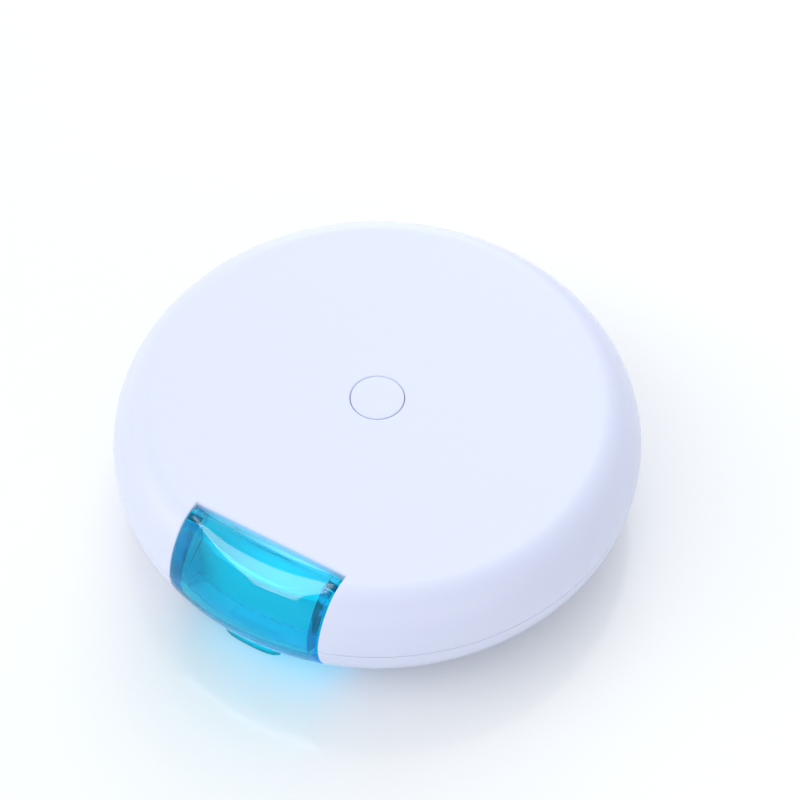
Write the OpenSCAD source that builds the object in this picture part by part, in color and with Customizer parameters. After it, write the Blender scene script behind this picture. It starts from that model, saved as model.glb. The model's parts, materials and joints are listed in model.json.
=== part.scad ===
// Rotary pill case. A round two-shell case holds a turning tray of seven cells. A hinged clear
// flap covers the one cell that stands at the window. Pressing the centre button turns a drive
// sleeve through one cell's angle, and toothed rings carry the tray on by that cell.
// Millimetres. The origin is the centre of the resting plane, +Z is up, the window faces -Y.

/* [Case] */
// Largest width of the case, at the parting line
case_d = 94; // [93.8:0.1:95]
// Height from the resting plane to the flat top
case_h = 25; // [25:0.1:25.4]
// Radius of the flat top
top_r = 39.3; // [39:0.1:39.5]
// Height of the parting line between the shells
parting_z = 14.4; // [14.2:0.1:14.6]
// Wall thickness of shells and flap
wall = 1.8; // [1.7:0.05:1.85]
// Radius of the flat underside
base_r = 24; // [23.5:0.1:24.5]

/* [Window and flap] */
// Width of the window
window_w = 29.5; // [29:0.1:30]
// Distance from the centre to the window's straight top edge
window_y = 35.1; // [35:0.05:35.2]
// Gap all round the flap
flap_gap = 0.3; // [0.25:0.05:0.35]
// Width of the finger lip
lip_w = 11.2; // [9:0.2:13]
// Radius reached by the finger lip
lip_r = 43.8; // [43:0.1:44.5]

/* [Tray] */
// Number of cells
cells = 7; // [7:1:7]
// Outside radius of the tray
tray_r = 39.3; // [39:0.1:39.4]
// Height of the tray's rim
rim_z = 18; // [17.5:0.1:18.1]
// Height of the cell floor
cell_floor_z = 9.2; // [9.2:0.1:9.6]

/* [Button] */
// Radius of the centre button
button_r = 4.7; // [4.5:0.1:4.75]
// Travel of the button
button_travel = 4; // [3.8:0.1:4]

/* [Hidden] */
$fn = 96;

white_plastic = [0.92, 0.94, 1.0];
milk_plastic = [0.86, 0.9, 0.95];
blue_clear = [0.05, 0.68, 0.92, 0.6];
acetal = [0.93, 0.92, 0.88];
steel = [0.72, 0.74, 0.77];
rubber = [0.35, 0.37, 0.4];

big = 120;
eps = 0.2;

// Outline of the case
girth_r = case_d / 2;
foot_h = 0.6;
floor_z = foot_h + wall;
ceiling_z = case_h - wall;
shoulder_tight_r = 5.5;
bilge_tight_r = 11.8;
arc_steps = 10;

// Seam between the shells
tongue_out_r = girth_r - wall - 0.2;
tongue_in_r = tongue_out_r - 1;
tongue_top_z = parting_z + 1.7;
tongue_root_z = parting_z - 2.4;
bead_z = parting_z + 0.9;
bead_h = 0.35;
bead_out = 0.18;
seam_fit = 0.12;

// Window
notch_half = window_w / 2;
notch_sill_z = 2.9;
cheek_t = 1.6;
tray_room_r = tray_r + 0.7;
tray_room_z = rim_z + 0.6;
skirt_out_r = tray_r + 0.1;
skirt_t = 1.2;

// Flap
flap_half = notch_half - flap_gap;
flap_cheek_t = 2.2;
flap_bottom_z = notch_sill_z + flap_gap;
flap_room_r = tray_r + 0.9;
flap_room_z = rim_z + 0.9;
knuckle_r = wall;
hinge_y = -(window_y + flap_gap + knuckle_r);
hinge_z = case_h - knuckle_r;
edge_bow = 0.9;
edge_drop = 0.6;
ledge_z = 10.4;
ledge_t = 1.2;
ledge_r = tray_r + 2;
lip_t = 1;

// Hinge pins
pin_r = 0.6;
pin_in_x = flap_half - 1.85;
pin_out_x = notch_half + 2.45;
pin_fit = 0.05;
pin_boss_r = 1.7;
pin_boss_x = pin_out_x + 0.7;

// Tray
cell_a = 360 / cells;
tray_t = 1.2;
tray_under_z = cell_floor_z - tray_t;
hub_in_r = 9;
hub_out_r = 10.4;
hub_bottom_z = 5.25;
hub_top_z = 20;
rim_skirt_z = tray_under_z - 0.8;
cell_fillet_r = 2.6;
rib_t = 1.2;
rib_top_z = 22.3;
rib_flat_r = 32.5;
rim_round = 0.3;

// Detent ring under the tray, its leaf spring and screw
detent_r = 24.5;
detent_w = 4;
detent_ring_z = tray_under_z - 1;
detent_notch_r = 0.9;
leaf_t = 0.3;
leaf_z = 4.9;
leaf_nose_z = detent_ring_z - 0.3;
leaf_screw_x = -13;
leaf_end_x = -15.6;
leaf_tip_x = 1.9;
screw_r = 0.78;
screw_hole_r = 0.8;
leaf_boss_r = 2.4;
leaf_head_r = 1.7;
leaf_head_h = 0.9;

// Bearing of the tray on the lower shell's collar
collar_r = 8;
collar_bore_r = 6.4;
collar_top_z = 8.6;
well_z = 4.6;
shoulder_r = 10.8;
bush_in_r = collar_r + 0.05;
bush_out_r = hub_in_r - 0.03;
support_r = 34.6;
support_t = 1.2;
support_top_z = 7.4;

// Toothed rings
crown_in_r = 6.6;
crown_out_r = hub_in_r - 0.05;
crown_bottom_z = 8.78;
crown_top_z = 9.4;
tooth_h = 0.45;
tooth_w = 1.6;
tooth_l = crown_out_r - crown_in_r - 0.3;
flange_r = 8.7;
flange_bottom_z = crown_top_z + 2 * tooth_h + 0.4;
flange_t = 1;

// Drive sleeve, with one helical slot for each pin
sleeve_in_r = 4.6;
sleeve_out_r = 6.3;
sleeve_bottom_z = 5.6;
sleeve_top_z = 16.2;
slot_r = 0.95;
slot_steps = 16;

// Plunger and its two drive pins
plunger_r = 4.5;
plunger_bore_r = 3;
plunger_bottom_z = 9;
plunger_roof_z = 20;
plunger_top_z = 21.4;
spigot_r = 2;
spigot_top_z = 23.2;
drive_pin_r = 0.7;
drive_pin_z = 13.5;
drive_pin_in_x = 3.15;
drive_pin_out_x = 5.9;

// Button and its guide
button_flange_r = 6.2;
button_flange_top_z = ceiling_z - 0.3;
button_hole_r = button_r + 0.3;
button_chamfer = 0.3;
guide_in_r = button_flange_r + 0.1;
guide_out_r = 7.4;
guide_bottom_z = 17.5;
guide_collar_r = 8.5;

// Spindle, spring and screw
spindle_r = 1.5;
spindle_base_r = 2.5;
spindle_bottom_z = 3.2;
spindle_top_z = 14;
spring_r = 2.25;
wire_r = 0.35;
spring_turns = 8;
spring_bottom_z = well_z + wire_r + 0.05;
spring_top_z = plunger_roof_z - wire_r - 0.05;
spring_steps = 14;
spring_sides = 8;
head_r = 2;
head_bore_r = 2.2;
head_seat_z = 1.9;
head_bottom_z = 0.75;
screw_top_z = 7;

// Feet
foot_r = 3;
foot_pcr = 19;
foot_recess = 0.6;
foot_count = 4;

// Points along an arc about (cx, cz), from angle a0 to angle a1
function arc(cx, cz, r, a0, a1) =
    [for (i = [0 : arc_steps]) let (a = a0 + (a1 - a0) * i / arc_steps) [cx + r * cos(a), cz + r * sin(a)]];

// A corner turns 90 degrees with a tight arc that blends into a loose one. It covers long in the
// loose arc's direction and short across it. These give the tight arc's angle and the loose radius.
function tight_angle(long, short, tight) = 2 * atan((long - tight) / (short - tight)) - 90;
function loose_radius(long, short, tight) =
    tight + (long - tight) / cos(tight_angle(long, short, tight));

// Upper outline, from the flat top down to the parting line, moved in by inset
shoulder_run = girth_r - top_r;
shoulder_rise = case_h - parting_z;
shoulder_a = tight_angle(shoulder_rise, shoulder_run, shoulder_tight_r);
shoulder_loose_r = loose_radius(shoulder_rise, shoulder_run, shoulder_tight_r);
function shoulder(inset) = concat(
    arc(top_r, case_h - shoulder_tight_r, shoulder_tight_r - inset, 90, 90 - shoulder_a),
    arc(girth_r - shoulder_loose_r, parting_z, shoulder_loose_r - inset, 90 - shoulder_a, 0)
);

// Lower outline, from the parting line down to the flat underside, moved in by inset
bilge_run = girth_r - base_r;
bilge_rise = parting_z - foot_h;
bilge_a = tight_angle(bilge_run, bilge_rise, bilge_tight_r);
bilge_loose_r = loose_radius(bilge_run, bilge_rise, bilge_tight_r);
function bilge(inset) = concat(
    arc(girth_r - bilge_tight_r, parting_z, bilge_tight_r - inset, 0, -bilge_a),
    arc(base_r, foot_h + bilge_loose_r, bilge_loose_r - inset, -bilge_a, -90)
);

function reversed(points) = [for (i = [len(points) - 1 : -1 : 0]) points[i]];

// Solid of the whole case, moved in by inset
module case_solid(inset = 0) {
    rotate_extrude()
        polygon(concat(
            [[0, case_h - inset]],
            shoulder(inset),
            bilge(inset),
            [[0, foot_h + inset]]
        ));
}

module ring(r_out, r_in, z0, z1) {
    rotate_extrude()
        translate([r_in, z0])
            square([r_out - r_in, z1 - z0]);
}

module disc(r, z0, z1) {
    translate([0, 0, z0])
        cylinder(r = r, h = z1 - z0);
}

// Block across the window side, from y = -big to y_in
module window_block(half, y_in, z0, z1) {
    translate([-half, -big, z0])
        cube([2 * half, big + y_in, z1 - z0]);
}

// Rod along X between x0 and x1 at the hinge axis
module hinge_rod(r, x0, x1) {
    translate([x0, hinge_y, hinge_z])
        rotate([0, 90, 0])
            cylinder(r = r, h = x1 - x0);
}

module both_sides() {
    children();
    mirror([1, 0, 0])
        children();
}

module around(count, start = 0) {
    for (i = [0 : count - 1])
        rotate([0, 0, start + i * 360 / count])
            children();
}

// Walls that close a shell beside the window
module cheeks(z0, z1) {
    both_sides()
        translate([notch_half, -big, z0])
            cube([cheek_t, big - window_y, z1 - z0]);
}

module upper_shell() {
    color(white_plastic)
    difference() {
        union() {
            rotate_extrude()
                polygon(concat(
                    [[0, case_h]],
                    shoulder(0),
                    reversed(shoulder(wall)),
                    [[0, ceiling_z]]
                ));
            ring(skirt_out_r, skirt_out_r - skirt_t, tray_room_z, ceiling_z + eps);
            ring(guide_collar_r, guide_out_r, guide_bottom_z, ceiling_z + eps);
            intersection() {
                case_solid(eps);
                difference() {
                    union() {
                        cheeks(parting_z, case_h);
                        both_sides()
                            hinge_rod(pin_boss_r, notch_half, pin_boss_x);
                    }
                    disc(tray_room_r, 0, tray_room_z);
                }
            }
        }
        window_block(notch_half, -window_y, 0, big);
        disc(button_hole_r, guide_bottom_z, big);
        translate([0, 0, case_h - button_chamfer])
            cylinder(r1 = button_hole_r, r2 = button_hole_r + button_chamfer, h = button_chamfer);
        ring(tongue_out_r + bead_out + seam_fit, tongue_out_r - eps, bead_z - bead_h, bead_z + bead_h);
        ring(tongue_out_r + 0.04, tongue_in_r - seam_fit, 0, tongue_top_z + seam_fit);
        both_sides()
            hinge_rod(pin_r + 0.02, 0, pin_out_x + 0.1);
    }
}

module lower_shell() {
    foot_top_z = foot_h + foot_recess;
    color(white_plastic)
    difference() {
        union() {
            rotate_extrude()
                polygon(concat(bilge(0), [[0, foot_h], [0, floor_z]], reversed(bilge(wall))));
            seam_tongue();
            ring(collar_r, collar_bore_r, floor_z - eps, collar_top_z);
            disc(shoulder_r, floor_z - eps, well_z);
            ring(support_r, support_r - support_t, floor_z, support_top_z);
            translate([leaf_screw_x, detent_r, 0])
                disc(leaf_boss_r, floor_z - eps, leaf_z);
            intersection() {
                case_solid(eps);
                difference() {
                    cheeks(floor_z, parting_z);
                    disc(tray_room_r, rim_skirt_z - 0.6, big);
                }
            }
        }
        window_block(notch_half, -window_y, notch_sill_z, big);
        disc(spindle_base_r + 0.02, spindle_bottom_z, big);
        disc(screw_r + 0.12, 0, big);
        disc(head_bore_r, 0, head_seat_z);
        translate([leaf_screw_x, detent_r, 0])
            disc(screw_hole_r, 2, big);
        around(foot_count, 45)
            translate([foot_pcr, 0, 0])
                disc(foot_r + 0.05, 0, foot_top_z);
    }
}

// Ring on the lower shell's edge that enters the upper shell, with a snap bead round it
module seam_tongue() {
    rotate_extrude()
        polygon([
            [tongue_in_r, tongue_root_z],
            [tongue_in_r, tongue_top_z],
            [tongue_out_r - 0.2, tongue_top_z],
            [tongue_out_r, tongue_top_z - 0.3],
            [tongue_out_r, bead_z + bead_h / 2],
            [tongue_out_r + bead_out, bead_z],
            [tongue_out_r, bead_z - bead_h / 2],
            [tongue_out_r, parting_z],
            [girth_r - wall / 2, parting_z],
            [girth_r - wall / 2, tongue_root_z + 1]
        ]);
}

module rubber_feet() {
    color(rubber)
    around(foot_count, 45)
        translate([foot_pcr, 0, 0])
            disc(foot_r, 0, foot_h + foot_recess - 0.05);
}

module flap() {
    color(blue_clear)
    difference() {
        union() {
            intersection() {
                case_solid();
                flap_body();
            }
            intersection() {
                ring(lip_r, lip_r - 5.4, flap_bottom_z, flap_bottom_z + lip_t);
                window_block(lip_w / 2, 0, 0, big);
            }
        }
        both_sides()
            hinge_rod(pin_r + pin_fit, 0, big);
    }
}

// Skin, side walls, ledge and knuckles of the flap, before they are cut to the case's outline
module flap_body() {
    difference() {
        union() {
            window_block(flap_half, hinge_y, flap_bottom_z, big);
            window_block(flap_half, -(window_y + flap_gap), flap_bottom_z, rim_skirt_z - 0.6);
        }
        case_solid(wall);
    }
    flap_top_edge();
    intersection() {
        window_block(flap_half, hinge_y, flap_bottom_z, ledge_z + ledge_t);
        difference() {
            disc(girth_r, ledge_z, ledge_z + ledge_t);
            disc(ledge_r, 0, big);
        }
    }
    both_sides()
        flap_cheek();
}

// Quarter-round top edge, cut back along a shallow bow between the knuckles
module flap_top_edge() {
    bow_half = flap_half - flap_cheek_t;
    bow_r = (bow_half * bow_half + edge_bow * edge_bow) / (2 * edge_bow);
    difference() {
        hinge_rod(knuckle_r, -flap_half, flap_half);
        translate([-bow_half, -big, 0])
            cube([2 * bow_half, 2 * big, hinge_z - edge_drop]);
        intersection() {
            translate([0, hinge_y + knuckle_r - edge_bow + bow_r, 0])
                cylinder(r = bow_r, h = big, $fn = 180);
            translate([-bow_half, -big, 0])
                cube([2 * bow_half, 2 * big, big]);
        }
    }
}

module flap_cheek() {
    difference() {
        translate([flap_half - flap_cheek_t, -big, flap_bottom_z])
            cube([flap_cheek_t, big + hinge_y, big]);
        disc(flap_room_r, 0, flap_room_z);
    }
}

module hinge_pins() {
    color(steel)
    both_sides()
        hinge_rod(pin_r, pin_in_x, pin_out_x);
}

module carousel_tray() {
    color(milk_plastic)
    difference() {
        union() {
            tray_bowl();
            ring(detent_r + detent_w / 2, detent_r - detent_w / 2, detent_ring_z, tray_under_z + eps);
            around(cells, -90 + cell_a / 2)
                tray_rib();
        }
        around(cells, -90 + cell_a / 2)
            translate([detent_r - detent_w, 0, detent_ring_z])
                rotate([0, 90, 0])
                    cylinder(r = detent_notch_r, h = 2 * detent_w, $fn = 32);
    }
}

// Floor, hub and outer wall of the tray, with a round corner where a pill slides out
module tray_bowl() {
    wall_in_r = tray_r - tray_t;
    rotate_extrude()
        polygon(concat(
            [
                [hub_in_r, hub_bottom_z],
                [hub_out_r, hub_bottom_z],
                [hub_out_r, tray_under_z],
                [wall_in_r, tray_under_z],
                [wall_in_r, rim_skirt_z],
                [tray_r, rim_skirt_z],
                [tray_r, rim_z - rim_round],
                [tray_r - rim_round, rim_z],
                [wall_in_r + rim_round, rim_z],
                [wall_in_r, rim_z - rim_round]
            ],
            arc(wall_in_r - cell_fillet_r, cell_floor_z + cell_fillet_r, cell_fillet_r, 0, -90),
            [
                [hub_out_r, cell_floor_z],
                [hub_out_r, hub_top_z],
                [hub_in_r, hub_top_z]
            ]
        ));
}

// Wall between two cells, lower at the rim so that it passes under the flap's knuckles
module tray_rib() {
    rotate([90, 0, 0])
        linear_extrude(height = rib_t, center = true)
            polygon([
                [hub_out_r - 0.6, tray_under_z + eps],
                [tray_r - tray_t / 2, tray_under_z + eps],
                [tray_r - tray_t / 2, rim_z - 2 * rim_round],
                [rib_flat_r, rib_top_z],
                [hub_out_r + 2, rib_top_z],
                [hub_out_r - 0.6, hub_top_z - 1]
            ]);
}

module hub_bush() {
    color(acetal)
    ring(bush_out_r, bush_in_r, hub_bottom_z + 0.05, crown_bottom_z - 0.05);
}

module ratchet_crown() {
    color(acetal)
    union() {
        ring(crown_out_r, crown_in_r, crown_bottom_z, crown_top_z);
        around(cells)
            saw_tooth(crown_top_z - 0.05, 1);
    }
}

// Wedge tooth on a ring's face. side 1 stands up and side -1 hangs down.
module saw_tooth(z, side) {
    translate([crown_in_r + 0.15, 0, z])
        rotate([90, 0, 90])
            linear_extrude(height = tooth_l)
                polygon([[0, 0], [-side * tooth_w, 0], [0, side * (tooth_h + 0.05)]]);
}

module bearing_washer() {
    color(steel)
    ring(hub_out_r, collar_r + 0.15, well_z + 0.02, hub_bottom_z - 0.05);
}

module push_button() {
    color(white_plastic)
    difference() {
        union() {
            disc(button_flange_r, plunger_top_z, button_flange_top_z);
            disc(button_r, plunger_top_z, case_h - 0.2);
            translate([0, 0, case_h - 0.2])
                cylinder(r1 = button_r, r2 = button_r - 0.2, h = 0.2);
        }
        disc(spigot_r + 0.02, plunger_top_z - 1, spigot_top_z + 0.1);
    }
}

module button_guide() {
    color(acetal)
    ring(guide_out_r - 0.02, guide_in_r, guide_bottom_z + 0.05, ceiling_z - 0.02);
}

module plunger() {
    color(acetal)
    difference() {
        union() {
            disc(plunger_r, plunger_bottom_z, plunger_top_z);
            disc(spigot_r, plunger_top_z - eps, spigot_top_z);
        }
        disc(plunger_bore_r, 0, plunger_roof_z);
        both_sides()
            pin_rod(drive_pin_r + 0.02, 0, plunger_r + 1);
    }
}

// Rod along X between x0 and x1 at the drive pins' height
module pin_rod(r, x0, x1) {
    translate([x0, 0, drive_pin_z])
        rotate([0, 90, 0])
            cylinder(r = r, h = x1 - x0, $fn = 32);
}

module drive_pins() {
    color(steel)
    both_sides()
        pin_rod(drive_pin_r, drive_pin_in_x, drive_pin_out_x);
}

module drive_sleeve() {
    color(acetal)
    difference() {
        union() {
            ring(sleeve_out_r, sleeve_in_r, sleeve_bottom_z, sleeve_top_z);
            ring(flange_r, sleeve_out_r - eps, flange_bottom_z, flange_bottom_z + flange_t);
            around(cells, 8)
                saw_tooth(flange_bottom_z + 0.05, -1);
        }
        around(2)
            helical_slot();
    }
}

// Slot that sinks by the button's travel while it turns back through one cell's angle
module helical_slot() {
    for (i = [0 : slot_steps])
        rotate([0, 0, -cell_a * i / slot_steps])
            translate([sleeve_in_r - 0.3, 0, drive_pin_z - button_travel * i / slot_steps])
                rotate([0, 90, 0])
                    cylinder(r = slot_r, h = sleeve_out_r - sleeve_in_r + 0.5, $fn = 24);
}

module thrust_washer() {
    color(acetal)
    ring(collar_bore_r - 0.1, sleeve_in_r + 0.1, well_z + 0.02, well_z + 0.5);
}

module spindle() {
    color(steel)
    difference() {
        union() {
            disc(spindle_base_r, spindle_bottom_z + 0.02, well_z);
            disc(spindle_r, well_z - eps, spindle_top_z - 0.4);
            translate([0, 0, spindle_top_z - 0.4])
                cylinder(r1 = spindle_r, r2 = spindle_r - 0.4, h = 0.4);
        }
        disc(screw_hole_r, 0, screw_top_z + 0.5);
    }
}

module spindle_screw() {
    color(steel)
    difference() {
        union() {
            disc(head_r, head_bottom_z, head_seat_z - 0.02);
            disc(screw_r, head_seat_z - eps, screw_top_z);
        }
        cross_recess(head_bottom_z, 0.5);
    }
}

// Cross recess in a screw head whose face is at z, cut in by depth (up if depth is positive)
module cross_recess(z, depth) {
    for (a = [0, 90])
        rotate([0, 0, a])
            translate([-1, -0.2, min(z, z + depth) - (depth > 0 ? 0.1 : 0)])
                cube([2, 0.4, abs(depth) + 0.1]);
}

// Wire swept along a helix, with flat ends
module return_spring() {
    total = spring_turns * spring_steps;
    rings = [for (i = [0 : total])
        let (a = 360 * i / spring_steps, z = spring_bottom_z + (spring_top_z - spring_bottom_z) * i / total)
        [for (j = [0 : spring_sides - 1])
            let (b = 360 * j / spring_sides, r = spring_r + wire_r * cos(b))
            [r * cos(a), r * sin(a), z + wire_r * sin(b)]]];
    color(steel)
    polyhedron(
        points = [for (one = rings) each one],
        faces = concat(
            [[for (j = [0 : spring_sides - 1]) j]],
            [for (i = [0 : total - 1], j = [0 : spring_sides - 1])
                let (k = (j + 1) % spring_sides, p = i * spring_sides, q = p + spring_sides)
                [p + j, q + j, q + k, p + k]],
            [[for (j = [spring_sides - 1 : -1 : 0]) total * spring_sides + j]]
        )
    );
}

// Steel strip along X, screwed down at one end, with a round nose under the detent ring
module detent_spring() {
    color(steel)
    difference() {
        translate([0, detent_r + detent_w / 2, 0])
            rotate([90, 0, 0])
                linear_extrude(height = detent_w)
                    leaf_outline();
        translate([leaf_screw_x, detent_r, 0])
            disc(screw_hole_r + 0.1, 0, big);
    }
}

module leaf_outline() {
    nose = arc(0, leaf_nose_z - 1, 1, 150, 30);
    nose_under = arc(0, leaf_nose_z - 1, 1 - leaf_t, 30, 150);
    polygon(concat(
        [[leaf_end_x, leaf_z], [leaf_end_x, leaf_z + leaf_t], [-6, leaf_z + leaf_t]],
        nose,
        [[leaf_tip_x, leaf_nose_z - 1], [leaf_tip_x - 0.3, leaf_nose_z - 1.15]],
        nose_under,
        [[-6, leaf_z]]
    ));
}

module detent_screw() {
    seat_z = leaf_z + leaf_t + 0.02;
    color(steel)
    translate([leaf_screw_x, detent_r, 0])
        difference() {
            union() {
                disc(leaf_head_r, seat_z, seat_z + leaf_head_h);
                disc(screw_r, 2.6, seat_z + eps);
            }
            cross_recess(seat_z + leaf_head_h, -0.4);
        }
}

upper_shell();
lower_shell();
rubber_feet();
flap();
hinge_pins();
carousel_tray();
hub_bush();
ratchet_crown();
bearing_washer();
push_button();
button_guide();
plunger();
drive_pins();
return_spring();
drive_sleeve();
thrust_washer();
spindle();
spindle_screw();
detent_spring();
detent_screw();
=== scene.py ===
"""Looks of the rotary pill case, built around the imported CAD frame.

Metres, +Z up, the window faces -Y.
"""

import json
import math

import bmesh
import bpy
from mathutils import Matrix, Vector


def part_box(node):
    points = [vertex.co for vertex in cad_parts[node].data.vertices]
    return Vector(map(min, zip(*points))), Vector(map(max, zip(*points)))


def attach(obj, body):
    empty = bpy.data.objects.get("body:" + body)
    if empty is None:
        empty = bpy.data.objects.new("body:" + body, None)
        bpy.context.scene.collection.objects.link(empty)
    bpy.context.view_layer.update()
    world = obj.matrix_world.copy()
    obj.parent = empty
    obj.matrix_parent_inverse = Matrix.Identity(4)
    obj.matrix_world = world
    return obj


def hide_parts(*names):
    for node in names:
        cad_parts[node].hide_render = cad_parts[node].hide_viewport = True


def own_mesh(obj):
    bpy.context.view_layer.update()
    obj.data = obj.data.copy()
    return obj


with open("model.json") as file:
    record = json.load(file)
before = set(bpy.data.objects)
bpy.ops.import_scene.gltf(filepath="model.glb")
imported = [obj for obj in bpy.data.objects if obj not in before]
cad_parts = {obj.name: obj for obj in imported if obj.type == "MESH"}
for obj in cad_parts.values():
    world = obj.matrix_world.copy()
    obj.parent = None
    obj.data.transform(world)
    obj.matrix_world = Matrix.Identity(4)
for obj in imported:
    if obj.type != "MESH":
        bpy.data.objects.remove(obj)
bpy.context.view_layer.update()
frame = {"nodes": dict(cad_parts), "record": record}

MM = 0.001

# ---------------------------------------------------------------- dimensions

upper_lo, upper_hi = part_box("upper_shell")
flap_lo, flap_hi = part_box("flap")
_, tray_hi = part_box("carousel_tray")
button_lo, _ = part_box("push_button")

GIRTH_R = upper_hi.x
TOP_Z = upper_hi.z
PARTING_Z = upper_lo.z
BASE_Z = 0.6 * MM
WALL = 1.8 * MM
TOP_R = 39.3 * MM
SHOULDER_TIGHT_R = 5.5 * MM
BILGE_TIGHT_R = 11.8 * MM
BASE_R = 24 * MM

GAP = 0.3 * MM
FLAP_HALF = flap_hi.x
NOTCH_HALF = FLAP_HALF + GAP
WINDOW_Y = -flap_hi.y - GAP
SILL_Z = flap_lo.z - GAP
TRAY_R = tray_hi.x
RIM_Z = 18 * MM
TRAY_ROOM_Z = 6.6 * MM
HINGE_Y = flap_hi.y - WALL
HINGE_Z = TOP_Z - WALL

SEAM_FIT = 0.12 * MM
SEAM_R = GIRTH_R - WALL - 0.2 * MM
TONGUE_T = MM
TONGUE_TOP_Z = PARTING_Z + 1.7 * MM
BEAD_Z = PARTING_Z + 0.9 * MM
HAIR = 0.04 * MM

BUTTON_R = 4.73 * MM
BUTTON_HOLE_R = 4.83 * MM

COLUMNS = 240
FINE_STEPS = 144
WINDOW_COLUMNS = 24
ARC_STEPS = 16

EDGE = 0.45 * MM
EDGE_STEPS = 4
INNER_EDGE_WEIGHT = 0.25
WELD = 0.001 * MM
GRAIN = 0.01 * MM


# ---------------------------------------------------------------- outline of the case

def arc(cx, cz, r, a0, a1, steps=ARC_STEPS):
    """Points (r, z) along an arc, with both ends. Angles in radians."""
    turns = [a0 + (a1 - a0) * i / steps for i in range(steps + 1)]
    return [(cx + r * math.cos(a), cz + r * math.sin(a)) for a in turns]


def two_arcs(long, short, tight):
    """Angle of the tight arc and radius of the loose one, for a corner that turns 90 degrees."""
    angle = 2 * math.atan((long - tight) / (short - tight)) - math.pi / 2
    return angle, tight + (long - tight) / math.cos(angle)


def shoulder(inset):
    """Upper outline from the parting line up to the flat top."""
    angle, loose = two_arcs(TOP_Z - PARTING_Z, GIRTH_R - TOP_R, SHOULDER_TIGHT_R)
    side = arc(GIRTH_R - loose, PARTING_Z, loose - inset, 0, math.pi / 2 - angle)
    tight_z = TOP_Z - SHOULDER_TIGHT_R
    top = arc(TOP_R, tight_z, SHOULDER_TIGHT_R - inset, math.pi / 2 - angle, math.pi / 2)
    return side + top[1:]


def bilge(inset):
    """Lower outline from the parting line down to the flat underside."""
    angle, loose = two_arcs(GIRTH_R - BASE_R, PARTING_Z - BASE_Z, BILGE_TIGHT_R)
    side = arc(GIRTH_R - BILGE_TIGHT_R, PARTING_Z, BILGE_TIGHT_R - inset, 0, -angle)
    bottom = arc(BASE_R, BASE_Z + loose, loose - inset, -angle, -math.pi / 2, 2 * ARC_STEPS)
    return side + bottom[1:]


def cut_at(points, axis, value):
    """The outline up to where its r (axis 0) or z (axis 1) reaches value, with that point added."""
    out = []
    for a, b in zip(points, points[1:]):
        out.append(a)
        if (a[axis] - value) * (b[axis] - value) <= 0 and a[axis] != b[axis]:
            t = (value - a[axis]) / (b[axis] - a[axis])
            out.append((a[0] + (b[0] - a[0]) * t, a[1] + (b[1] - a[1]) * t))
            return out
    return out + [points[-1]]


def radius_at(points, z):
    return cut_at(points, 1, z)[-1][0]


# ---------------------------------------------------------------- mesh helpers

def from_bmesh(name, bm):
    bmesh.ops.recalc_face_normals(bm, faces=bm.faces)
    mesh = bpy.data.meshes.new(name)
    bm.to_mesh(mesh)
    bm.free()
    obj = bpy.data.objects.new(name, mesh)
    bpy.context.scene.collection.objects.link(obj)
    return obj


def smooth(obj):
    obj.data.polygons.foreach_set("use_smooth", [True] * len(obj.data.polygons))
    return obj


def settle(obj):
    """Replaces the object's mesh with the result of its modifiers."""
    bpy.context.view_layer.update()
    shaped = obj.evaluated_get(bpy.context.evaluated_depsgraph_get())
    mesh = bpy.data.meshes.new_from_object(shaped)
    obj.modifiers.clear()
    old = obj.data
    obj.data = mesh
    bpy.data.meshes.remove(old)
    return obj


def bevel(obj, width, segments=3, weights=True):
    mod = obj.modifiers.new("edges", "BEVEL")
    mod.width = width
    mod.segments = segments
    mod.limit_method = "WEIGHT" if weights else "ANGLE"
    mod.angle_limit = math.radians(38)
    mod.use_clamp_overlap = True
    return settle(obj)


def weighted_normals(obj):
    smooth(obj)
    mod = obj.modifiers.new("normals", "WEIGHTED_NORMAL")
    mod.weight = 60
    mod.keep_sharp = True
    return obj


def boolean(obj, others, operation):
    for other in others:
        mod = obj.modifiers.new("cut", "BOOLEAN")
        mod.operation = operation
        mod.solver = "EXACT"
        mod.object = other
        settle(obj)
        bpy.data.objects.remove(other)
    bm = bmesh.new()
    bm.from_mesh(obj.data)
    bmesh.ops.remove_doubles(bm, verts=bm.verts, dist=WELD)
    bmesh.ops.dissolve_degenerate(bm, edges=bm.edges, dist=WELD)
    bm.to_mesh(obj.data)
    bm.free()
    return obj


def lathe(name, profile, steps=COLUMNS, closed=True):
    """Turns an outline of (r, z) points round Z. A point at r = 0 becomes a pole."""
    bm = bmesh.new()
    rows = []
    for r, z in profile:
        if r < WELD:
            rows.append([bm.verts.new((0, 0, z))])
        else:
            turns = [2 * math.pi * i / steps for i in range(steps)]
            rows.append([bm.verts.new((r * math.sin(a), -r * math.cos(a), z)) for a in turns])
    pairs = list(zip(rows, rows[1:])) + ([(rows[-1], rows[0])] if closed else [])
    for one, two in pairs:
        for j in range(steps):
            k = (j + 1) % steps
            loop = [one[j % len(one)], one[k % len(one)], two[k % len(two)], two[j % len(two)]]
            unique = list(dict.fromkeys(loop))
            if len(unique) > 2:
                bm.faces.new(unique)
    return from_bmesh(name, bm)


def tube(name, r_out, r_in, z0, z1, at=(0, 0), steps=72):
    """Upright ring, or a rod when r_in is 0."""
    profile = [(r_in, z0), (r_out, z0), (r_out, z1), (r_in, z1)]
    obj = lathe(name, profile, steps, closed=r_in > 0)
    obj.data.transform(Matrix.Translation((at[0], at[1], 0)))
    return obj


def box_piece(name, lo, hi):
    bm = bmesh.new()
    bmesh.ops.create_cube(bm, size=1)
    for v in bm.verts:
        v.co = Vector((lo[i] if v.co[i] < 0 else hi[i] for i in range(3)))
    return from_bmesh(name, bm)


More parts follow.
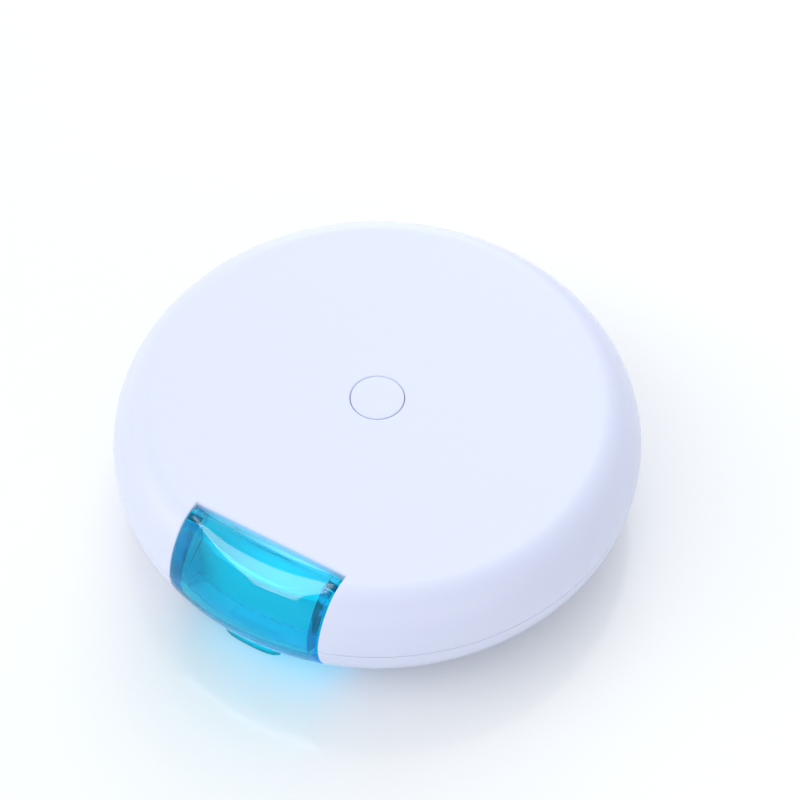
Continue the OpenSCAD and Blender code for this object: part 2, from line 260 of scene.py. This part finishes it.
def hinge_rod(name, r, x0, x1):
    """Rod along X on the flap's hinge axis."""
    rod = tube(name, r, 0, x0, x1, steps=40)
    turn = Matrix.Rotation(math.pi / 2, 4, "Y")
    rod.data.transform(Matrix.Translation((0, HINGE_Y, HINGE_Z)) @ turn)
    return rod


def case_solid(name, inset):
    """The whole outline as one solid, moved in by inset."""
    profile = [(0, TOP_Z - inset)] + shoulder(inset)[::-1] + bilge(inset)[1:] + [(0, BASE_Z + inset)]
    return lathe(name, profile, FINE_STEPS, closed=False)


def cheek_plates(z0, z1, room_z0, room_z1, rods):
    """The two walls beside the window, with room for the tray.

    rods adds the bosses of the hinge pins and the slot for the lower shell's tongue.
    """
    room_r = TRAY_R + 0.7 * MM
    plate_t = 1.6 * MM
    boss_r, boss_reach, boss_start = 1.7 * MM, 3.15 * MM, 0.02 * MM
    back_y = -WINDOW_Y - 0.03 * MM
    slot_r = SEAM_R + 0.6 * MM
    plates = []
    for side in (-1, 1):
        inner, outer = NOTCH_HALF + HAIR, NOTCH_HALF + plate_t
        xs = sorted((side * inner, side * outer))
        plate = box_piece("cheek", (xs[0], -GIRTH_R, z0), (xs[1], back_y, z1))
        if rods:
            ends = sorted((side * (inner + boss_start), side * (NOTCH_HALF + boss_reach)))
            boolean(plate, [hinge_rod("boss", boss_r, *ends)], "UNION")
        boolean(plate, [case_solid("room", WALL / 2)], "INTERSECT")
        cuts = [tube("tray_room", room_r, 0, room_z0, room_z1, steps=FINE_STEPS)]
        if rods:
            top_z = TONGUE_TOP_Z + SEAM_FIT
            cuts.append(tube("seam", slot_r, SEAM_R - TONGUE_T - SEAM_FIT, 0, top_z, steps=COLUMNS))
        plates.append(boolean(plate, cuts, "DIFFERENCE"))
    return plates


def window_point(r, a, z):
    """A point at angle a round from the middle of the window."""
    return Vector((r * math.sin(a), -r * math.cos(a), z))


def ring_turns(r):
    """Angles round the case from one side of the notch to the other, at radius r."""
    start = math.asin(NOTCH_HALF / r)
    return [start + 2 * (math.pi - start) * i / COLUMNS for i in range(COLUMNS + 1)]


def notched_rows(profile):
    """A row of points round the case at each (r, z) of profile, open at the notch."""
    return [[window_point(r, a, z) for a in ring_turns(r)] for r, z in profile]


def double_skin(name, cut_out, cut_in, closed_out, closed_in, weights):
    """A shell between an outer and an inner surface with the same layout.

    cut_*: rows of COLUMNS + 1 points that stop at the notch. closed_*: rows of points all round.
    The first closed row begins with the last cut row. weights gives the bevel weight of the rim's
    outer edges at the "foot", the "notch", the "sill" and the "hole".
    """
    bm = bmesh.new()
    layer = bm.edges.layers.float.new("bevel_weight_edge")

    def surface(cut, closed):
        cut_v = [[bm.verts.new(p) for p in row] for row in cut[:-1]]
        closed_v = [[bm.verts.new(p) for p in row] for row in closed]
        cut_v.append(closed_v[0][: COLUMNS + 1])
        return cut_v, closed_v

    def strips(rows, wrap):
        for one, two in zip(rows, rows[1:]):
            count = len(one)
            for j in range(count if wrap else count - 1):
                k = (j + 1) % count
                bm.faces.new((one[j], one[k], two[k], two[j]))

    out_cut, out_closed = surface(cut_out, closed_out)
    in_cut, in_closed = surface(cut_in, closed_in)
    for cut, closed in ((out_cut, out_closed), (in_cut, in_closed)):
        strips(cut, False)
        strips(closed, True)

    def rim(outer, inner, kind):
        for j in range(len(outer) - 1):
            bm.faces.new((outer[j], outer[j + 1], inner[j + 1], inner[j]))
            for pair, weight in ((outer, weights[kind]), (inner, INNER_EDGE_WEIGHT)):
                bm.edges.get((pair[j], pair[j + 1]))[layer] = weight

    rim(out_cut[0], in_cut[0], "foot")
    rim([row[0] for row in out_cut], [row[0] for row in in_cut], "notch")
    rim([row[-1] for row in out_cut], [row[-1] for row in in_cut], "notch")
    sill_out = out_closed[0][COLUMNS:] + [out_closed[0][0]]
    sill_in = in_closed[0][COLUMNS:] + [in_closed[0][0]]
    rim(sill_out, sill_in, "sill")
    rim(out_closed[-1] + [out_closed[-1][0]], in_closed[-1] + [in_closed[-1][0]], "hole")
    return from_bmesh(name, bm)


# ---------------------------------------------------------------- shells

def upper_shell():
    corner_r = math.hypot(NOTCH_HALF, WINDOW_Y)
    corner_band = 0.6 * MM
    skirt_out, skirt_in, skirt_z = TRAY_R + 0.1 * MM, TRAY_R - 1.1 * MM, RIM_Z + 0.6 * MM
    skirt_gap = 0.4 * MM
    collar_out, collar_in, collar_z, collar_turn = 8.5 * MM, 7.4 * MM, 17.5 * MM, 1.3
    cheek_z, cheek_room_z = PARTING_Z + 0.05 * MM, RIM_Z + 0.5 * MM
    groove_depth, groove_half = 0.3 * MM, 0.35 * MM
    pin_hole_r, pin_reach = 0.62 * MM, NOTCH_HALF + 2.55 * MM
    hole_steps = (0.0, 0.02, 0.25, 0.5, 0.75, 0.985, 1.0)

    def cut_rows(inset):
        z = TOP_Z - inset
        return notched_rows(shoulder(inset) + [(corner_r + corner_band, z), (corner_r, z)])

    def closed_rows(inset, edge):
        z = TOP_Z - inset
        chord = [
            Vector((-NOTCH_HALF + 2 * NOTCH_HALF * k / WINDOW_COLUMNS, -WINDOW_Y, z))
            for k in range(1, WINDOW_COLUMNS)
        ]
        outer = edge + chord
        hole = [Vector((p.x, p.y, 0)).normalized() * BUTTON_HOLE_R + Vector((0, 0, z)) for p in outer]
        return [[p.lerp(q, t) for p, q in zip(outer, hole)] for t in hole_steps]

    weights = {"foot": 0.22, "notch": 0.7, "sill": 1.0, "hole": 0.6}
    out_cut, in_cut = cut_rows(0), cut_rows(WALL)
    out_closed = closed_rows(0, out_cut[-1])
    in_closed = closed_rows(WALL, in_cut[-1])
    shell = double_skin("upper_shell_skin", out_cut, in_cut, out_closed, in_closed, weights)
    bevel(shell, EDGE, EDGE_STEPS)
    root_z = TOP_Z - WALL / 2
    skirt = tube("skirt", skirt_out, skirt_in, skirt_z, root_z, steps=FINE_STEPS)
    edge, half = WINDOW_Y + skirt_gap, NOTCH_HALF + skirt_gap
    opening = box_piece("window", (-half, -GIRTH_R, 0), (half, -edge, 2 * TOP_Z))
    boolean(skirt, [opening], "DIFFERENCE")
    collar = tube("collar", collar_out, collar_in, collar_z, root_z)
    collar.data.transform(Matrix.Rotation(math.radians(collar_turn), 4, "Z"))
    cheeks = cheek_plates(cheek_z, TOP_Z, 0, cheek_room_z, True)
    boolean(shell, [skirt, collar] + cheeks, "UNION")
    low, high = BEAD_Z - groove_half, BEAD_Z + groove_half
    groove = tube("groove", SEAM_R + groove_depth, SEAM_R - TONGUE_T, low, high, steps=COLUMNS)
    pin_hole = hinge_rod("pin_hole", pin_hole_r, -pin_reach, pin_reach)
    return boolean(shell, [groove, pin_hole], "DIFFERENCE")


def lower_shell():
    inner_sill_r = 36.4 * MM
    top_z = PARTING_Z - 0.12 * MM
    flange_z = PARTING_Z - 0.4 * MM

    def rows(inset):
        profile = bilge(inset)
        outer = bilge(0)
        profile[0], outer[0] = (profile[0][0], top_z), (outer[0][0], top_z)
        cut = cut_at(outer, 1, SILL_Z)
        count = len(cut)
        if inset:
            t = (cut[-1][0] - outer[count - 2][0]) / (outer[count - 1][0] - outer[count - 2][0])
            a, b = profile[count - 2], profile[count - 1]
            last = (a[0] + (b[0] - a[0]) * t, a[1] + (b[1] - a[1]) * t)
            cut = profile[: count - 1] + [last]
        return cut, profile[count:]

    def closed_rows(edge, profile, floor_z):
        first, last = edge[0], edge[-1]
        start = math.atan2(first.x, -first.y)
        turns = [-start + 2 * start * k / WINDOW_COLUMNS for k in range(1, WINDOW_COLUMNS)]
        r = math.hypot(first.x, first.y)
        sill = [window_point(r, a, first.z) for a in turns]
        loops = [edge + sill]
        angles = [math.atan2(p.x, -p.y) for p in loops[0]]
        for pr, pz in profile:
            loops.append([window_point(pr, a, pz) for a in angles])
        for share in (0.5, 0.05):
            loops.append([window_point(BASE_R * share, a, floor_z) for a in angles])
        return loops

    weights = {"foot": 0.22, "notch": 0.7, "sill": 0.5, "hole": 0.0}
    out_cut, out_rest = rows(0)
    in_cut, in_rest = rows(WALL)
    out_cut, in_cut = notched_rows(out_cut), notched_rows(in_cut)
    out_closed = closed_rows(out_cut[-1], out_rest, BASE_Z)
    in_closed = closed_rows(in_cut[-1], in_rest, BASE_Z + WALL)
    for j in range(COLUMNS + 1, len(in_closed[0])):
        p = in_closed[0][j]
        in_closed[0][j] = Vector((p.x, p.y, 0)).normalized() * inner_sill_r + Vector((0, 0, SILL_Z))
    shell = double_skin("lower_shell_skin", out_cut, in_cut, out_closed, in_closed, weights)
    bevel(shell, EDGE, EDGE_STEPS)
    root_z = BASE_Z + WALL / 2
    bead, bead_half = 0.18 * MM, 0.175 * MM
    lead_in, lead_in_h = 0.2 * MM, 0.3 * MM
    tongue_foot_z, flange_low_z = PARTING_Z - 2.4 * MM, PARTING_Z - 1.4 * MM
    tongue = lathe("tongue", [
        (SEAM_R - TONGUE_T, tongue_foot_z),
        (SEAM_R - TONGUE_T, TONGUE_TOP_Z),
        (SEAM_R - lead_in, TONGUE_TOP_Z),
        (SEAM_R, TONGUE_TOP_Z - lead_in_h),
        (SEAM_R, BEAD_Z + bead_half),
        (SEAM_R + bead, BEAD_Z),
        (SEAM_R, BEAD_Z - bead_half),
        (SEAM_R, flange_z),
        (GIRTH_R - WALL / 2, flange_z),
        (GIRTH_R - WALL / 2, flange_low_z),
    ])
    half, edge = NOTCH_HALF + HAIR, WINDOW_Y + HAIR
    opening = box_piece("window", (-half, -GIRTH_R, SILL_Z), (half, -edge, TOP_Z))
    boolean(tongue, [opening], "DIFFERENCE")
    collar_out, collar_in, collar_top_z = 8 * MM, 6.4 * MM, 8.6 * MM
    hub_r, hub_top_z = 10.8 * MM, 4.6 * MM
    support_out, support_in, support_top_z = 34.6 * MM, 33.4 * MM, 7.4 * MM
    support_z = root_z + 1.2 * MM
    leaf_at, leaf_boss_r, leaf_z = (-13 * MM, 24.5 * MM), 2.4 * MM, 4.9 * MM
    inside = [
        tongue,
        tube("collar", collar_out, collar_in, root_z, collar_top_z),
        tube("shoulder", hub_r, 0, root_z, hub_top_z),
        tube("support", support_out, support_in, support_z, support_top_z, steps=FINE_STEPS),
        tube("leaf_boss", leaf_boss_r, 0, root_z, leaf_z, leaf_at, 48),
    ]
    cheek_top_z = top_z - 0.35 * MM
    inside += cheek_plates(root_z, cheek_top_z, TRAY_ROOM_Z, TOP_Z, False)
    boolean(shell, inside, "UNION")
    head_r, screw_r, spindle_r = 2.2 * MM, 0.9 * MM, 2.52 * MM
    head_z, seat_z = 1.9 * MM, 3.2 * MM
    spindle_way = [
        (0, -MM),
        (head_r, -MM),
        (head_r, head_z),
        (screw_r, head_z),
        (screw_r, seat_z),
        (spindle_r, seat_z),
        (spindle_r, TOP_Z),
        (0, TOP_Z),
    ]
    leaf_hole_r, leaf_hole_z = 0.8 * MM, 2 * MM
    cuts = [
        lathe("spindle_way", spindle_way, 48, closed=False),
        tube("leaf_way", leaf_hole_r, 0, leaf_hole_z, TOP_Z, leaf_at, 32),
    ]
    foot_ring_r, foot_seat_r, foot_seat_z = 19 * MM, 3.05 * MM, 1.2 * MM
    for quarter in range(4):
        a = math.radians(45 + 90 * quarter)
        foot_at = (foot_ring_r * math.cos(a), foot_ring_r * math.sin(a))
        cuts.append(tube("foot_seat", foot_seat_r, 0, 0, foot_seat_z, foot_at, 48))
    return boolean(shell, cuts, "DIFFERENCE")


def push_button():
    """Cap with a small round edge, over the flange that keeps it in."""
    edge = 0.15 * MM
    flange_r = 6.2 * MM
    flange_z = button_lo.z + 1.5 * MM
    dish, dish_r = 0.03 * MM, BUTTON_R * 0.6
    profile = [(0, button_lo.z), (flange_r, button_lo.z), (flange_r, flange_z), (BUTTON_R, flange_z)]
    profile += arc(BUTTON_R - edge, TOP_Z - edge, edge, 0, math.pi / 2, 6)
    profile += [(dish_r, TOP_Z - dish / 2), (0, TOP_Z - dish)]
    return lathe("button_cap", profile, 96, closed=False)


def spring_coil():
    """Open coil of round wire inside the hollow stem, with the same turns as the CAD spring."""
    lo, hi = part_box("return_spring")
    coil_r, turns, steps, sides = 2.25 * MM, 8, 40, 12
    wire_r = hi.x - coil_r
    bottom, top = lo.z + wire_r, hi.z - wire_r
    bm = bmesh.new()
    rows = []
    for i in range(turns * steps + 1):
        a = 2 * math.pi * i / steps
        z = bottom + (top - bottom) * i / (turns * steps)
        row = []
        for j in range(sides):
            b = 2 * math.pi * j / sides
            r = coil_r + wire_r * math.cos(b)
            row.append(bm.verts.new((r * math.cos(a), r * math.sin(a), z + wire_r * math.sin(b))))
        rows.append(row)
    for one, two in zip(rows, rows[1:]):
        for j in range(sides):
            k = (j + 1) % sides
            bm.faces.new((one[j], one[k], two[k], two[j]))
    bm.faces.new(rows[0])
    bm.faces.new(rows[-1])
    return from_bmesh("spring_coil", bm)


# ---------------------------------------------------------------- flap

def flap_mesh():
    """The flap as one closed loft across the window: each column is a loop in the Y-Z plane."""
    cheek_in = FLAP_HALF - 2.2 * MM
    lip_half = 5.6 * MM
    lip_r = 43.5 * MM
    lip_rounding = 0.7 * MM
    lip_t = 1 * MM
    bow = 0.9 * MM
    edge_drop = 0.6 * MM
    bottom_z = flap_lo.z
    ledge_lo, ledge_hi, ledge_r = 10.4 * MM, 11.6 * MM, TRAY_R + 2 * MM
    cheek_r = TRAY_R + 0.9 * MM
    cheek_top_z = RIM_Z + 0.9 * MM
    low_z = TRAY_ROOM_Z
    steps_down = (2 / 3, 1 / 3, 0)
    round_steps, inner_round = 8, 0.8
    skin_count, inner_count = 46, 60
    below_count, above_count, cheek_steps = 9, 14, 8
    tiny = 1e-12
    outer_line = list(reversed(shoulder(0))) + bilge(0)[1:]
    inner_line = list(reversed(shoulder(WALL))) + bilge(WALL)[1:]

    def y_of(r, x):
        return -math.sqrt(max(r * r - x * x, 0))

    def behind(y, z):
        """Keeps the skin's inner side in front of the tray and the window's sill."""
        return min(y, -WINDOW_Y - GAP if z < low_z else HINGE_Y)

    def along(line, x, start_r, end_z, count):
        """count points of the case's section in the plane x, from start_r down to end_z."""
        top_z = line[0][1]
        pts = [(start_r, top_z)] + [p for p in line if p[0] > start_r or p[1] < top_z - 6 * MM]
        if start_r > line[0][0]:
            tail = cut_at(list(reversed(cut_at(line, 1, PARTING_Z))), 0, start_r)
            pts = list(reversed(tail)) + [p for p in line if p[1] < PARTING_Z]
        pts = cut_at(pts, 1, end_z)
        flat = [Vector((0, y_of(r, x), z)) for r, z in pts]
        lengths = [0]
        for a, b in zip(flat, flat[1:]):
            lengths.append(lengths[-1] + (b - a).length)
        out = []
        for i in range(count):
            want = lengths[-1] * i / (count - 1)
            j = max(k for k in range(len(lengths) - 1) if lengths[k] <= want + tiny)
            t = (want - lengths[j]) / max(lengths[j + 1] - lengths[j], tiny)
            out.append(flat[j].lerp(flat[j + 1], min(t, 1)))
        return [(p.y, p.z) for p in out]

    def thin(points, count):
        """count of the points, picked evenly with both ends."""
        step = (len(points) - 1) / (count - 1)
        return [points[round(step * i)] for i in range(count)]

    def loop(x, cheek, lip):
        ax = abs(x)
        back = flap_hi.y - (bow * (1 - (ax / cheek_in) ** 2) if ax < cheek_in else 0)
        # round top edge, from its lower lip up to the flat
        points = [(back, HINGE_Z - edge_drop)]
        for i in range(round_steps + 1):
            a = math.radians(90 * i / round_steps)
            points.append((HINGE_Y + (back - HINGE_Y) * math.cos(a), HINGE_Z + WALL * math.sin(a)))
        start_r = math.hypot(HINGE_Y, x)
        skin_end_z = bottom_z + lip_t
        skin = along(outer_line, x, start_r, skin_end_z, skin_count)
        if start_r > outer_line[0][0]:
            points[-1] = (HINGE_Y, skin[0][1])
        points += skin[1:]
        outer_r = [radius_at(bilge(0), bottom_z + lip_t * f) for f in steps_down]
        if lip:
            tip = y_of(lip_r - lip_rounding * (ax / lip_half) ** 6, x)
            points += [(tip, skin_end_z), (tip, bottom_z), (y_of(outer_r[2], x), bottom_z)]
        else:
            least = -WINDOW_Y - GAP - 0.1 * MM
            for r, f in zip(outer_r, steps_down):
                points.append((min(y_of(r, x), least), bottom_z + lip_t * f))
        # inside, from the bottom edge back up
        inner_r = radius_at(bilge(WALL), bottom_z)
        points.append((behind(y_of(inner_r, x), bottom_z), bottom_z))
        if cheek:
            for i in range(1, below_count + 1):
                z = bottom_z + (low_z - bottom_z) * i / below_count
                points.append((behind(y_of(min(radius_at(bilge(WALL), z), cheek_r), x), z), z))
            for i in range(1, cheek_steps + 1):
                points.append((y_of(cheek_r, x), low_z + (cheek_top_z - low_z) * i / cheek_steps))
            points += [(HINGE_Y, cheek_top_z)]
            for i in range(round_steps + 1):
                a = math.radians(-90 + 90 * i / round_steps * inner_round)
                points.append((HINGE_Y + WALL * math.cos(a), HINGE_Z + WALL * math.sin(a)))
        else:
            low = list(reversed(along(inner_line, x, start_r, bottom_z, inner_count)))[1:]
            below = [p for p in low if p[1] < ledge_lo]
            above = [p for p in low if p[1] > ledge_hi]
            in_lo, in_hi = (radius_at(bilge(WALL), z) for z in (ledge_lo, ledge_hi))

            points += [(behind(y, z), z) for y, z in thin(below, below_count)]
            points += [(y_of(in_lo, x), ledge_lo), (y_of(ledge_r, x), ledge_lo)]
            points += [(y_of(ledge_r, x), ledge_hi), (y_of(in_hi, x), ledge_hi)]
            points += [(behind(y, z), z) for y, z in thin(above, above_count)]
        return [Vector((x, y, z)) for y, z in points]

    cheek_w = FLAP_HALF - cheek_in
    side_w = cheek_in - lip_half
    columns = []

    def across(x0, width, count, cheek, lip):
        columns.extend((x0 + width * i / count, cheek, lip) for i in range(count + 1))

    across(-FLAP_HALF, cheek_w, 3, True, False)
    across(-cheek_in, side_w, 7, False, False)
    across(-lip_half, 2 * lip_half, 12, False, True)
    across(lip_half, side_w, 7, False, False)
    across(cheek_in, cheek_w, 3, True, False)
    bm = bmesh.new()
    rows = [[bm.verts.new(p) for p in loop(*column)] for column in columns]
    for one, two in zip(rows, rows[1:]):
        for j in range(len(one)):
            k = (j + 1) % len(one)
            bm.faces.new((one[j], one[k], two[k], two[j]))
    bm.faces.new(rows[0])
    bm.faces.new(rows[-1])
    bmesh.ops.remove_doubles(bm, verts=bm.verts, dist=WELD)
    bmesh.ops.dissolve_degenerate(bm, edges=bm.edges, dist=WELD)
    return from_bmesh("flap_clear", bm)


# ---------------------------------------------------------------- materials

def new_material(name):
    material = bpy.data.materials.new(name)
    material.use_nodes = True
    tree = material.node_tree
    return material, tree, tree.nodes["Principled BSDF"]


def noise(tree, scale, detail=3.0, rough=0.5):
    place = tree.nodes.new("ShaderNodeTexCoord")
    node = tree.nodes.new("ShaderNodeTexNoise")
    node.inputs["Scale"].default_value = scale
    node.inputs["Detail"].default_value = detail
    node.inputs["Roughness"].default_value = rough
    tree.links.new(place.outputs["Object"], node.inputs["Vector"])
    return node.outputs["Fac"]


def spread(tree, value, low, high):
    """Maps a 0-1 value onto low-high."""
    node = tree.nodes.new("ShaderNodeMapRange")
    node.inputs["To Min"].default_value = low
    node.inputs["To Max"].default_value = high
    tree.links.new(value, node.inputs["Value"])
    return node.outputs["Result"]


def mix(tree, value, one, two):
    node = tree.nodes.new("ShaderNodeMix")
    node.data_type = "RGBA"
    node.inputs["A"].default_value = (*one, 1)
    node.inputs["B"].default_value = (*two, 1)
    tree.links.new(value, node.inputs["Factor"])
    return node.outputs["Result"]


def bump(tree, height, strength, distance):
    node = tree.nodes.new("ShaderNodeBump")
    node.inputs["Strength"].default_value = strength
    node.inputs["Distance"].default_value = distance
    tree.links.new(height, node.inputs["Height"])
    return node.outputs["Normal"]


def calculate(tree, operation, *values):
    """Math node over sockets and numbers; returns its output socket."""
    node = tree.nodes.new("ShaderNodeMath")
    node.operation = operation
    for slot, value in zip(node.inputs, values):
        if isinstance(value, (int, float)):
            slot.default_value = value
        else:
            tree.links.new(value, slot)
    return node.outputs[0]


def moulded_plastic(name, one, two, roughness, grain=GRAIN):
    """Moulded plastic: slight cloudiness of colour, a fine orange-peel surface and uneven gloss."""
    material, tree, shader = new_material(name)
    shader.inputs["IOR"].default_value = 1.5
    cloud, gloss, peel = noise(tree, 55, 4), noise(tree, 240, 5, 0.6), noise(tree, 1400, 2)
    tree.links.new(mix(tree, cloud, one, two), shader.inputs["Base Color"])
    tree.links.new(spread(tree, gloss, *roughness), shader.inputs["Roughness"])
    tree.links.new(bump(tree, peel, 0.35, grain), shader.inputs["Normal"])
    return material


def clear_blue():
    """Tinted clear plastic: the tint deepens with the depth of plastic that light crosses.

    Lamps reach through it straight, which stands for the light that a clear flap lets in.
    """
    material, tree, shader = new_material("clear_blue_plastic")
    tint = mix(tree, noise(tree, 90, 3), (0.0, 0.80, 0.89), (0.0, 0.82, 0.90))
    tree.links.new(tint, shader.inputs["Base Color"])
    shader.inputs["Transmission Weight"].default_value = 0.90
    shader.inputs["IOR"].default_value = 1.28
    tree.links.new(spread(tree, noise(tree, 180, 3), 0.01, 0.03), shader.inputs["Roughness"])
    tree.links.new(bump(tree, noise(tree, 300, 2), 0.1, GRAIN), shader.inputs["Normal"])
    output = tree.nodes["Material Output"]
    path = tree.nodes.new("ShaderNodeLightPath")
    open_air = tree.nodes.new("ShaderNodeBsdfTransparent")
    choose = tree.nodes.new("ShaderNodeMixShader")
    tree.links.new(path.outputs["Is Shadow Ray"], choose.inputs["Fac"])
    tree.links.new(shader.outputs["BSDF"], choose.inputs[1])
    tree.links.new(open_air.outputs["BSDF"], choose.inputs[2])
    tree.links.new(choose.outputs["Shader"], output.inputs["Surface"])
    depth = tree.nodes.new("ShaderNodeVolumeAbsorption")
    depth.inputs["Color"].default_value = (0.0, 0.955, 0.988, 1)
    depth.inputs["Density"].default_value = 1400
    tree.links.new(depth.outputs["Volume"], output.inputs["Volume"])
    return material


def metal(name, colour, roughness):
    material, tree, shader = new_material(name)
    shader.inputs["Metallic"].default_value = 1
    dark = tuple(c * 0.86 for c in colour)
    tree.links.new(mix(tree, noise(tree, 500, 4), dark, colour), shader.inputs["Base Color"])
    tree.links.new(spread(tree, noise(tree, 900, 5), *roughness), shader.inputs["Roughness"])
    tree.links.new(bump(tree, noise(tree, 1500, 3), 0.2, GRAIN), shader.inputs["Normal"])
    return material


shell_white = moulded_plastic(
    "shell_white", (0.727, 0.767, 0.958), (0.731, 0.771, 0.962), (0.25, 0.28), 0.000003
)
# Milk-white tray plastic, darkened overall: part of this grey is painted shade for the shaded tray wall
# seen through the flap.
tray_milk_with_painted_shade = moulded_plastic("tray_milk_with_painted_shade", (0.67, 0.71, 0.75), (0.70, 0.74, 0.78), (0.34, 0.44))
acetal = moulded_plastic("acetal_natural", (0.80, 0.79, 0.74), (0.85, 0.84, 0.79), (0.35, 0.45))
rubber = moulded_plastic("rubber_grey", (0.20, 0.21, 0.23), (0.25, 0.26, 0.28), (0.6, 0.75), 0.00004)
steel = metal("steel_bright", (0.66, 0.68, 0.71), (0.18, 0.32))
pin_steel = metal("steel_dark", (0.03, 0.10, 0.22), (0.50, 0.58))
flap_blue = clear_blue()


def dress(obj, material):
    obj.data.materials.clear()
    obj.data.materials.append(material)
    return obj


# ---------------------------------------------------------------- pieces

def place(piece, node, material, slot):
    dress(piece, material)
    body = next(b for b, ns in frame["record"]["behaviour"]["bodies"].items() if node in ns)
    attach(piece, body)
    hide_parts(node)
    return piece


place(weighted_normals(upper_shell()), "upper_shell", shell_white, "shell")
place(weighted_normals(lower_shell()), "lower_shell", shell_white, "shell")
place(smooth(push_button()), "push_button", shell_white, "shell")
flap_piece = flap_mesh()
bevel(flap_piece, 0.18 * MM, 2, weights=False)
place(weighted_normals(flap_piece), "flap", flap_blue, "flap")
coil = place(smooth(spring_coil()), "return_spring", steel, "steel")
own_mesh(coil)

looks = {
    "tray": tray_milk_with_painted_shade,
    "acetal": acetal,
    "steel": steel,
    "rubber": rubber,
}
slot_of = {row["node"]: row["material_slot"] for row in frame["record"]["subparts"]}
for node, obj in frame["nodes"].items():
    if node not in ("upper_shell", "lower_shell", "push_button", "flap", "return_spring"):
        dress(obj, pin_steel if node == "hinge_pins" else looks[slot_of[node]])


# ---------------------------------------------------------------- stage, light and camera

def stage_floor():
    half = 1.5
    bm = bmesh.new()
    corners = [(-half, -half, 0), (half, -half, 0), (half, half, 0), (-half, half, 0)]
    bm.faces.new([bm.verts.new(p) for p in corners])
    floor = from_bmesh("stage_floor", bm)
    material, tree, shader = new_material("stage_white")
    white = mix(tree, noise(tree, 8, 2), (0.93, 0.935, 0.94), (0.95, 0.95, 0.95))
    tree.links.new(white, shader.inputs["Base Color"])
    shader.inputs["Roughness"].default_value = 0.12
    dress(floor, material)


def world_light():
    """A faintly cool white dome with broad soft lights on it."""
    cool = (1, 1.022, 1.039, 1)
    fill = 0.67
    # azimuth from +X, elevation, strength. Fill, strengths and tint come from a least-squares fit.
    soft_lights = (
        (120, 65, 0.83),
        (240, 65, 0.69),
        (108, 40, 1.67),
        (216, 40, 1.25),
        (90, 14, 0.25),
        (120, 14, 1.97),
        (210, 14, 1.67),
        (240, 14, 0.46),
        (270, 14, 0.55),
        (300, 14, 0.50),
        (330, 14, 0.78),
    )
    world = bpy.data.worlds.new("studio")
    bpy.context.scene.world = world
    world.use_nodes = True
    tree = world.node_tree
    background = tree.nodes["Background"]
    background.inputs["Color"].default_value = cool
    where = tree.nodes.new("ShaderNodeTexCoord")
    total = None
    for azimuth, elevation, strength in soft_lights:
        turn, lift = math.radians(azimuth), math.radians(elevation)
        towards = tree.nodes.new("ShaderNodeVectorMath")
        towards.operation = "DOT_PRODUCT"
        towards.inputs[1].default_value = (
            math.cos(turn) * math.cos(lift),
            math.sin(turn) * math.cos(lift),
            math.sin(lift),
        )
        tree.links.new(where.outputs["Generated"], towards.inputs[0])
        front = calculate(tree, "MAXIMUM", towards.outputs["Value"], 0)
        lobe = calculate(tree, "POWER", front, 24)
        total = calculate(tree, "MULTIPLY_ADD", lobe, strength, fill if total is None else total)
    tree.links.new(total, background.inputs["Strength"])


def area_light(name, where, size, power, colour, lit):
    """Lamp that faces straight down, hidden from view and from reflections.

    lit: the objects that it lights.
    """
    data = bpy.data.lights.new(name, "AREA")
    data.shape = "DISK" if size[0] == size[1] else "RECTANGLE"
    data.size, data.size_y = size
    data.energy = power
    data.color = colour
    lamp = bpy.data.objects.new(name, data)
    lamp.location = where
    lamp.visible_camera = False
    lamp.visible_transmission = False
    lamp.visible_glossy = False
    bpy.context.scene.collection.objects.link(lamp)
    reached = bpy.data.collections.new(name + "_reaches")
    for obj in lit:
        reached.objects.link(obj)
    lamp.light_linking.receiver_collection = reached
    return lamp


def fill_lights():
    """Lamps in the cell behind the flap and below the tray, and a card that the flap reflects."""
    tray = frame["nodes"]["carousel_tray"]
    lower = bpy.data.objects["lower_shell_skin"]
    flap = bpy.data.objects["flap_clear"]
    cell_blue, low_green, white = (0.26, 0.84, 1.0), (0.35, 1.0, 0.68), (1.0, 1.0, 1.0)
    area_light("cell_fill", (0, -0.030, 0.0230), (0.012, 0.012), 0.0020, cell_blue, [tray])
    area_light("low_fill", (0, -0.0395, 0.0068), (0.024, 0.004), 0.0008, low_green, [tray, lower, flap])
    card = area_light("window_card", (-0.137, -0.40, 0.50), (0.275, 1.0), 9.5, white, [flap])
    card.visible_glossy = True
    card.visible_diffuse = False


def photo_camera():
    """Camera at azimuth 31, elevation 52, at the distance and lens that fit the photographed shape."""
    azimuth = math.radians(30.9)
    elevation = math.radians(51.62)
    distance = 9.3 * GIRTH_R
    roll = math.radians(0.435)
    aim = Vector((3.7, 1.52, 25)) * MM
    away = Vector((
        math.sin(azimuth) * math.cos(elevation),
        -math.cos(azimuth) * math.cos(elevation),
        math.sin(elevation),
    ))
    data = bpy.data.cameras.new("camera")
    data.lens = 112.21
    data.sensor_width = 36
    data.clip_start = 0.01
    camera = bpy.data.objects.new("camera", data)
    camera.location = Vector((0, 0, TOP_Z)) + away * distance
    facing = (camera.location - aim).to_track_quat("Z", "Y").to_matrix()
    camera.rotation_euler = (facing @ Matrix.Rotation(roll, 3, "Z")).to_euler()
    bpy.context.scene.collection.objects.link(camera)
    bpy.context.scene.camera = camera


stage_floor()
world_light()
fill_lights()
photo_camera()
bpy.context.scene.view_settings.view_transform = "Standard"
